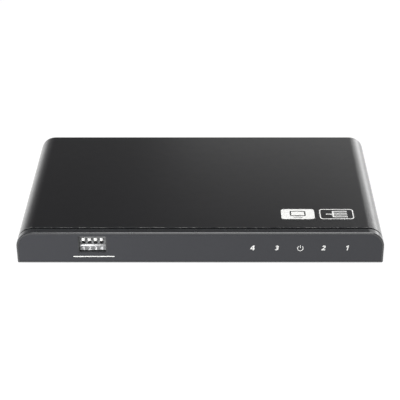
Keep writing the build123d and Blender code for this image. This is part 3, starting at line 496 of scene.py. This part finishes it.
def rounded_rectangle(width, height, radius, steps=6):
    """Closed outline, centred on the origin."""
    loop = []
    core_x, core_y = width / 2 - radius, height / 2 - radius
    for side_x, side_y, start in ((1, 1, 0), (-1, 1, 90), (-1, -1, 180), (1, -1, 270)):
        loop += moved(arc(radius, start, start + 90, steps), side_x * core_x, side_y * core_y)
    return loop


def capsule(start, end, width, steps=6):
    """Outline of a stroke with round ends."""
    (x0, y0), (x1, y1) = start, end
    turn = math.degrees(math.atan2(y1 - y0, x1 - x0))
    return (moved(arc(width / 2, turn - 90, turn + 90, steps), x1, y1)
            + moved(arc(width / 2, turn + 90, turn + 270, steps), x0, y0))


def open_ring(radius, width, gap, steps=28):
    """Outline of a ring, open by gap degrees at its top."""
    start, end = 90 + gap / 2, 450 - gap / 2
    return arc(radius + width / 2, start, end, steps) + arc(radius - width / 2, end, start, steps)


# The figures' outlines stand on zero and are 1 high
def figure_one():
    outline = [(-0.04, 0.0), (0.17, 0.0), (0.17, 1.0), (0.0, 1.0), (-0.26, 0.79), (-0.26, 0.58),
               (-0.04, 0.71)]
    return [outline]


def figure_two():
    ring, hole, end = 0.32, 0.12, -40.0
    outer = moved(arc(ring, 165.0, end, 14), 0.0, 1.0 - ring)
    inner = moved(arc(hole, end, 165.0, 14), 0.0, 1.0 - ring)
    return [outer + [(0.0, 0.2), (0.34, 0.2), (0.34, 0.0), (-0.33, 0.0), (-0.33, 0.17)] + inner]


def figure_three():
    ring, hole, high, low = 0.3, 0.1, 0.7, 0.3
    notch = math.degrees(math.asin((0.5 - high) / ring))
    loop = (moved(arc(ring, 150.0, notch, 12), 0.0, high) + moved(arc(ring, -notch, -150.0, 12), 0.0, low)
            + moved(arc(hole, -150.0, 90.0, 12), 0.0, low) + [(-0.1, 0.4), (-0.1, 0.6)]
            + moved(arc(hole, -90.0, 150.0, 12), 0.0, high))
    return [[(x * 1.12, y) for x, y in loop]]


def figure_four():
    outline = [(0.08, 0.0), (0.28, 0.0), (0.28, 0.22), (0.4, 0.22), (0.4, 0.4), (0.28, 0.4), (0.28, 1.0),
               (0.03, 1.0), (-0.38, 0.4), (-0.38, 0.22), (0.08, 0.22)]
    return [outline, [(0.08, 0.4), (0.08, 0.76), (-0.17, 0.4)]]


FIGURES = {1: figure_one, 2: figure_two, 3: figure_three, 4: figure_four}


def number(name, figure, height, place, to_place, finish, lean=0.0):
    """A plain number of that height, its middle at place."""
    def put(x, y):
        return (x + lean * (y - 0.5)) * height, (y - 0.5) * height

    loops = [moved([put(x, y) for x, y in loop], *place) for loop in FIGURES[figure]()]
    return flat_piece(name, loops, INK, to_place, finish)


def plane(origin, right, up):
    """Matrix that carries x along right and y along up, with z out of the face."""
    right, up = Vector(right), Vector(up)
    out = right.cross(up)
    matrix = Matrix((right, up, out)).transposed().to_4x4()
    matrix.translation = Vector(origin)
    return matrix


FRONT = plane((0.0, lo_hi("front_overlay")[0].y, 0.0), (1, 0, 0), (0, 0, 1))
TOP = plane((0.0, 0.0, lo_hi("top_cover")[1].z), (1, 0, 0), (0, 1, 0))
REAR = plane((0.0, lo_hi("rear_panel")[1].y + INK, 0.0), (-1, 0, 0), (0, 0, 1))


def under_ink_top(corner):
    """Lets the cover's round corners and roof down by the ink's thickness."""
    top = lo_hi("top_cover")[1].z
    middle = top - ROUND_CORNER
    if corner.z > middle:
        corner.z = middle + (corner.z - middle) * (1.0 - INK / ROUND_CORNER)
    return corner


def under_ink_front(corner):
    """Sets the film's face back by the ink's thickness, and lets its rim out towards its seat."""
    lo, hi = lo_hi("front_overlay")
    if corner.y < lo.y + WELD:
        corner.y = lo.y + INK
    core = Vector((hi.x - FILM_CORE, 0.0, FILM_CORE))
    near_x = max(-core.x, min(core.x, corner.x))
    near_z = max(lo.z + core.z, min(hi.z - core.z, corner.z))
    out = corner - Vector((near_x, corner.y, near_z))
    if out.length > FILM_REACH:
        corner = corner + out.normalized() * FILM_GROWTH
    return corner


def keener_rim(corner):
    """Draws the bezel's front bevel closer to its edge."""
    lo, hi = lo_hi("front_bezel")
    if abs(corner.y - lo.y - BEZEL_BEVEL) < WELD:
        corner.y -= RIM_SHIFT
    elif corner.y < lo.y + WELD:
        side = 1.0 if corner.x > 0.0 else -1.0
        core_x, core_z = hi.x - ROUND_CORNER, hi.z - ROUND_CORNER
        if abs(corner.x) > core_x and corner.z > core_z:
            out = Vector((corner.x - side * core_x, 0.0, corner.z - core_z))
            if out.length > ROUND_CORNER - BEZEL_BEVEL - RIM_SHIFT:
                corner += out.normalized() * RIM_SHIFT
        else:
            reach = BEZEL_BEVEL + RIM_SHIFT
            if hi.x - abs(corner.x) < reach:
                corner.x += side * RIM_SHIFT
            if hi.z - corner.z < reach:
                corner.z += RIM_SHIFT
            elif corner.z - lo.z < reach:
                corner.z -= RIM_SHIFT
    return corner


def wear_and_light_front_edge(cover):
    """The upper facets of the cover's cut front edge show worn paint with a painted glint, and the faces
    that stand in the gap take painted shade.
    """
    # Slots of the worn paint with its painted glint, and of the painted shade on the cut faces
    worn_and_glint, cut = 1, 2
    cover.data.materials.append(WORN_PAINT_AND_GLINT)
    cover.data.materials.append(SHADED_CUT_EDGE)
    front = lo_hi("top_cover")[0].y
    for face in cover.data.polygons:
        if face.center.y < front + CUT_DEPTH:
            if -GAP_SHADE_LEAN < face.normal.y < -WORN_LEAN:
                face.material_index = worn_and_glint
            elif face.normal.y <= -GAP_SHADE_LEAN:
                face.material_index = cut


def shells():
    """The outer pieces and the slide switch, with rounded edges."""
    cover = rounded("cover_sheet", "top_cover", "black_cover_paint", COVER_EDGE, shift=under_ink_top)
    wear_and_light_front_edge(cover)
    rounded("bezel_moulding", "front_bezel", "black_bezel_plastic", BEZEL_EDGE, shift=keener_rim)
    rounded("front_film_sheet", "front_overlay", "front_film", FILM_EDGE, shift=under_ink_front)
    rounded("tray_sheet", "base_tray", "black_cover_paint", SHEET_EDGE)
    rounded("rear_sheet", "rear_panel", "black_cover_paint", SHEET_EDGE)
    rounded("foot_pads", "rubber_feet", "rubber_black", FOOT_EDGE, segments=3)
    rounded("switch_housing", "dip_switch_body", "switch_plastic", SWITCH_EDGE)
    for way in (1, 2, 3, 4):
        rounded(f"white_knob_{way}", f"dip_slider_{way}", "white_knobs", KNOB_EDGE, body=f"knob_{way}")


def front_marks():
    """Four numbers and the power sign in front of the lights, and a bare stroke under the switch."""
    height, rise, lean = 0.0024, 0.00845, 0.15
    places = {4: 0.02205, 3: 0.03225, 2: 0.05205, 1: 0.06205}
    for figure, x in places.items():
        number(f"light_mark_{figure}", figure, height, (x, rise), FRONT, WHITE_INK, lean)
    power_place, line = (0.0422, rise - 0.0002), 0.00027
    ring_radius, ring_gap = 0.0012, 70
    ring = moved(open_ring(ring_radius, line, ring_gap), *power_place)
    flat_piece("power_ring", [ring], INK, FRONT, WHITE_INK)
    low, high = 0.0003, 0.0014
    stroke = moved(capsule((0, low), (0, high), line), *power_place)
    flat_piece("power_stroke", [stroke], INK, FRONT, WHITE_INK)
    middle, half, stroke_rise, stroke_width = -0.045, 0.0085, 0.0042, 0.00045
    under_switch = capsule((middle - half, stroke_rise), (middle + half, stroke_rise), stroke_width)
    flat_piece("switch_stroke", [under_switch], INK, FRONT, WHITE_INK)


def switch_marks():
    """Printing on the slide switch: numbers under the knobs and a tick at the recess's left end, and a pale
    painted highlight along the recess's lower edge, where its ledge catches the light."""
    body_lo, body_hi = lo_hi("dip_switch_body")
    face = body_lo.y
    skin_front = face - INK
    floor_y = face + TROUGH_DEPTH
    middle = (body_lo.x + body_hi.x) / 2.0
    on_face = plane((0.0, skin_front, 0.0), (1, 0, 0), (0, 0, 1))
    on_floor = plane((0.0, floor_y - INK, 0.0), (1, 0, 0), (0, 0, 1))
    height, rise = 0.0017, 0.0077
    for figure in (1, 2, 3, 4):
        lo, hi = lo_hi(f"dip_slider_{figure}")
        place = ((lo.x + hi.x) / 2.0, rise)
        number(f"way_mark_{figure}", figure, height, place, on_face, PALE_INK_AND_HIGHLIGHT)
    # A pale strip over the recess's ledge and the face just below it, painted as the highlight where the
    # ledge catches the light
    highlight_low, highlight_top = TROUGH_LOW - LEDGE_HIGHLIGHT_DROP, TROUGH_LOW + INK
    skin = [(skin_front, highlight_low), (face, highlight_low), (face, TROUGH_LOW), (floor_y, TROUGH_LOW),
            (floor_y, highlight_top), (skin_front, highlight_top)]
    half = TROUGH_WIDTH / 2.0
    across = plane((middle + half, 0.0, 0.0), (0, 1, 0), (0, 0, 1))
    flat_piece("recess_ledge_highlight", [skin], TROUGH_WIDTH, across, PALE_INK_AND_HIGHLIGHT)
    tick_inset, tick_low, tick_high, tick_width = 0.0003, 0.0101, 0.0109, 0.0004
    left = middle - half + tick_inset
    tick = capsule((left, tick_low), (left, tick_high), tick_width)
    flat_piece("recess_tick", [tick], INK, on_floor, PALE_INK_AND_HIGHLIGHT)


def rear_marks():
    """A plain number over each output, and an arrow into the input."""
    height, rise, stem = 0.0017, 0.01335, 0.00016
    for output in (1, 2, 3, 4):
        lo, hi = lo_hi(f"output_socket_{output}_shell")
        place = (-(lo.x + hi.x) / 2.0, rise)
        number(f"output_mark_{output}", output, height, place, REAR, WHITE_INK)
    lo, hi = lo_hi("input_socket_shell")
    half, wing, neck = height / 2.0, height * 0.4, -height * 0.05
    arrow = [(0.0, -half), (wing, neck), (stem, neck), (stem, half), (-stem, half), (-stem, neck),
             (-wing, neck)]
    arrow = moved(arrow, -(lo.x + hi.x) / 2.0, rise)
    flat_piece("input_arrow", [arrow], INK, REAR, WHITE_INK)


def turned(profile, steps=40):
    """A solid of revolution about Z in bmesh, from points of radius and height. The first and last of them
    are on the axis."""
    work = bmesh.new()
    rings = []
    for radius, height in profile:
        if radius < WELD:
            rings.append([work.verts.new((0.0, 0.0, height))])
        else:
            turns = [2.0 * math.pi * i / steps for i in range(steps)]
            circle = [(radius * math.cos(a), radius * math.sin(a), height) for a in turns]
            rings.append([work.verts.new(corner) for corner in circle])
    for low, high in zip(rings, rings[1:]):
        for i in range(steps):
            j = (i + 1) % steps
            corners = [low[i % len(low)], low[j % len(low)], high[j % len(high)], high[i % len(high)]]
            work.faces.new([c for k, c in enumerate(corners) if c not in corners[:k]])
    bmesh.ops.recalc_face_normals(work, faces=work.faces)
    return work


def cross_cutter(radius, width, depth, taper=0.45):
    """A cross-shaped punch that narrows upwards to the share taper, from depth below the XY plane to as
    much above it."""
    loop = []
    half = width / 2.0
    for quarter in range(4):
        turn = Matrix.Rotation(math.radians(90.0 * quarter), 2)
        loop += [turn @ Vector(corner) for corner in ((half, half), (half, radius), (-half, radius))]
    work = bmesh.new()
    low = [work.verts.new((c.x, c.y, -depth)) for c in loop]
    high = [work.verts.new((c.x * taper, c.y * taper, depth)) for c in loop]
    work.faces.new(low)
    work.faces.new(high)
    for i in range(len(loop)):
        j = (i + 1) % len(loop)
        work.faces.new([low[i], low[j], high[j], high[i]])
    bmesh.ops.recalc_face_normals(work, faces=work.faces)
    return work


def as_mesh(name, work, places):
    """One mesh of copies of work at these places."""
    mesh = bpy.data.meshes.new(name)
    whole = bmesh.new()
    part = bpy.data.meshes.new(name + "_part")
    work.to_mesh(part)
    work.free()
    for place in places:
        copy = part.copy()
        copy.transform(Matrix.Translation(place))
        whole.from_mesh(copy)
        bpy.data.meshes.remove(copy)
    bpy.data.meshes.remove(part)
    whole.to_mesh(mesh)
    whole.free()
    return mesh


def countersunk_screws():
    """The two cover screws with a rolled thread and a cross recess in the head."""
    lo, hi = lo_hi("cover_screws")
    head, shank, cone, edge, pitch = 0.0023, 0.00125, 0.001, 0.00012, 0.0005
    cross_radius, cross_width, cross_depth = 0.0013, 0.00045, 0.0009
    root = shank * 0.8
    length = hi.z - lo.z
    profile = [(0.0, 0.0), (head - edge, 0.0), (head, edge)]
    for turn in range(int((length - cone) / pitch)):
        profile += [(root, cone + turn * pitch), (shank, cone + (turn + 0.5) * pitch)]
    profile += [(root, length), (0.0, length)]
    places = [(x, lo.y + head, lo.z) for x in (lo.x + head, hi.x - head)]
    mesh = as_mesh("cover_screw_pair", turned(profile), places)
    finish = FINISHES["black_zinc_screws"]
    made = piece("cover_screw_pair", mesh, finish, replaced=("cover_screws",))
    cutter = as_mesh("punch", cross_cutter(cross_radius, cross_width, cross_depth), places)
    punch = bpy.data.objects.new("punch", cutter)
    bpy.context.scene.collection.objects.link(punch)
    cut = made.modifiers.new("recess", "BOOLEAN")
    cut.object = punch
    cut.operation = "DIFFERENCE"
    cut.solver = "EXACT"
    smooth(settled(made))
    bpy.data.objects.remove(punch)


def comb(left, stem, right, half, line):
    """Outline of one line that parts into four."""
    loop = [(left, line / 2), (stem, line / 2), (stem, half + line / 2)]
    rows = [half - i * 2 * half / 3 for i in range(4)]
    for index, row in enumerate(rows):
        loop += [(right, row + line / 2), (right, row - line / 2)]
        if index < 3:
            loop += [(stem + line, row - line / 2), (stem + line, rows[index + 1] + line / 2)]
    return loop + [(stem, -half - line / 2), (stem, -line / 2), (left, -line / 2)]


def top_marks():
    """Two plain badges: a filled one with a screen, and an outlined one with a line that parts in four."""
    middle_y, line = -0.0287, 0.0006
    filled_x, outlined_x = 0.04175, 0.0584
    # Width, height and corner radius of each outline
    badge, screen, glass = (0.0143, 0.0083, 0.0012), (0.0068, 0.0042, 0.0006), (0.0056, 0.003, 0.0003)
    rim, field = (0.0146, 0.0083, 0.0013), (0.0137, 0.0074, 0.0009)
    screen_rise, foot_drop, foot_half = 0.0005, 0.0026, 0.0017
    filled = [moved(rounded_rectangle(*badge), filled_x, middle_y)]
    for size in (screen, glass):
        filled.append(moved(rounded_rectangle(*size), filled_x, middle_y + screen_rise))
    filled.append(moved(capsule((-foot_half, 0), (foot_half, 0), line), filled_x, middle_y - foot_drop))
    flat_piece("filled_badge", filled, INK, TOP, WHITE_INK)
    outlined = [moved(rounded_rectangle(*size), outlined_x, middle_y) for size in (rim, field)]
    flat_piece("outlined_badge", outlined, INK, TOP, WHITE_INK)
    fork_left, fork_stem, fork_right, fork_half = -0.0046, -0.0018, 0.0046, 0.0023
    fork = moved(comb(fork_left, fork_stem, fork_right, fork_half, line), outlined_x, middle_y)
    flat_piece("badge_fork", [fork], INK, TOP, WHITE_INK)


def carried_over():
    """Every CAD node that still shows takes its slot's finish."""
    for node in frame["nodes"].values():
        slots = [m.name.split(".")[0] for m in node.data.materials]
        for index, slot in enumerate(slots):
            node.data.materials[index] = FINISHES[slot]


def camera():
    """The photograph's camera."""
    data = bpy.data.cameras.new("camera")
    data.lens = CAMERA_LENS
    data.sensor_width = CAMERA_SENSOR
    data.shift_x = CAMERA_SHIFT_X
    data.clip_start = CAMERA_NEAR
    made = bpy.data.objects.new("camera", data)
    bpy.context.scene.collection.objects.link(made)
    made.location = CAMERA_PLACE
    made.rotation_euler = (CAMERA_PITCH, 0.0, 0.0)
    bpy.context.scene.camera = made


def softbox(name, place, width, height, power, mirrored):
    """A rectangular lamp aimed at the part. Unless it is mirrored, no reflection shows it."""
    data = bpy.data.lights.new(name, "AREA")
    data.shape = "RECTANGLE"
    data.size = width
    data.size_y = height
    data.energy = power
    made = bpy.data.objects.new(name, data)
    bpy.context.scene.collection.objects.link(made)
    made.location = place
    made.rotation_euler = (Vector(AIM) - Vector(place)).to_track_quat("-Z", "Y").to_euler()
    made.visible_camera = False
    made.visible_glossy = mirrored


def floor():
    """Pale floor. The camera and reflections see it white with a soft shadow, while diffuse rays and views
    from below pass through it."""
    half = FLOOR_HALF
    mesh = bpy.data.meshes.new("floor")
    corners = [(-half, -half, 0), (half, -half, 0), (half, half, 0), (-half, half, 0)]
    mesh.from_pydata(corners, [], [(0, 1, 2, 3)])
    made = bpy.data.objects.new("floor", mesh)
    bpy.context.scene.collection.objects.link(made)
    material = bpy.data.materials.new("floor")
    material.use_nodes = True
    tree = material.node_tree
    tree.nodes.clear()
    new, link = tree.nodes.new, tree.links.new
    path = new("ShaderNodeLightPath")
    seen = new("ShaderNodeMath")
    seen.operation = "MAXIMUM"
    link(path.outputs["Is Camera Ray"], seen.inputs[0])
    link(path.outputs["Is Glossy Ray"], seen.inputs[1])
    paper = new("ShaderNodeBsdfDiffuse")
    paper.inputs["Color"].default_value = (FLOOR_PAPER, FLOOR_PAPER, FLOOR_PAPER, 1.0)
    faint = new("ShaderNodeBsdfDiffuse")
    faint.inputs["Color"].default_value = (FLOOR_SHADE, FLOOR_SHADE, FLOOR_SHADE, 1.0)
    glow = new("ShaderNodeEmission")
    glow.inputs["Strength"].default_value = FLOOR_GLOW
    both = new("ShaderNodeAddShader")
    link(faint.outputs[0], both.inputs[0])
    link(glow.outputs[0], both.inputs[1])
    pick = new("ShaderNodeMixShader")
    link(seen.outputs[0], pick.inputs[0])
    link(paper.outputs[0], pick.inputs[1])
    link(both.outputs[0], pick.inputs[2])
    under = new("ShaderNodeMath")
    under.operation = "MAXIMUM"
    side = new("ShaderNodeNewGeometry")
    link(side.outputs["Backfacing"], under.inputs[0])
    link(path.outputs["Is Diffuse Ray"], under.inputs[1])
    clear = new("ShaderNodeBsdfTransparent")
    last = new("ShaderNodeMixShader")
    link(under.outputs[0], last.inputs[0])
    link(pick.outputs[0], last.inputs[1])
    link(clear.outputs[0], last.inputs[2])
    out = new("ShaderNodeOutputMaterial")
    link(last.outputs[0], out.inputs["Surface"])
    mesh.materials.append(material)


def world():
    """White to the camera. Reflections see a studio that is pale at the horizon and dark overhead."""
    made = bpy.data.worlds.new("studio")
    bpy.context.scene.world = made
    made.use_nodes = True
    tree = made.node_tree
    tree.nodes.clear()
    new, link = tree.nodes.new, tree.links.new
    path = new("ShaderNodeLightPath")
    place = new("ShaderNodeTexCoord")
    split = new("ShaderNodeSeparateXYZ")
    link(place.outputs["Generated"], split.inputs[0])
    fades = []
    for strength, end in WORLD_FADES:
        fade = new("ShaderNodeMapRange")
        link(split.outputs["Z"], fade.inputs["Value"])
        fade.inputs["From Min"].default_value = WORLD_FOOT
        fade.inputs["From Max"].default_value = end
        fade.inputs["To Min"].default_value = strength
        fade.inputs["To Max"].default_value = 0.0
        fades.append(fade)
    total = new("ShaderNodeMath")
    for fade, socket in zip(fades, total.inputs):
        link(fade.outputs[0], socket)
    gloss = new("ShaderNodeBackground")
    link(total.outputs[0], gloss.inputs["Strength"])
    soft = new("ShaderNodeBackground")
    soft.inputs["Strength"].default_value = WORLD_SOFT
    white = new("ShaderNodeBackground")
    white.inputs["Strength"].default_value = 1.0
    for node in (gloss, soft, white):
        node.inputs["Color"].default_value = (1.0, 1.0, 1.0, 1.0)
    shiny = new("ShaderNodeMath")
    shiny.operation = "MAXIMUM"
    link(path.outputs["Is Glossy Ray"], shiny.inputs[0])
    link(path.outputs["Is Transmission Ray"], shiny.inputs[1])
    first = new("ShaderNodeMixShader")
    link(shiny.outputs[0], first.inputs[0])
    link(soft.outputs[0], first.inputs[1])
    link(gloss.outputs[0], first.inputs[2])
    last = new("ShaderNodeMixShader")
    link(path.outputs["Is Camera Ray"], last.inputs[0])
    link(first.outputs[0], last.inputs[1])
    link(white.outputs[0], last.inputs[2])
    out = new("ShaderNodeOutputWorld")
    link(last.outputs[0], out.inputs["Surface"])


def lights():
    for row in LIGHTS:
        softbox(*row)


shells()
front_marks()
switch_marks()
top_marks()
rear_marks()
countersunk_screws()
carried_over()
camera()
floor()
world()
lights()
bpy.context.scene.view_settings.view_transform = "Standard"
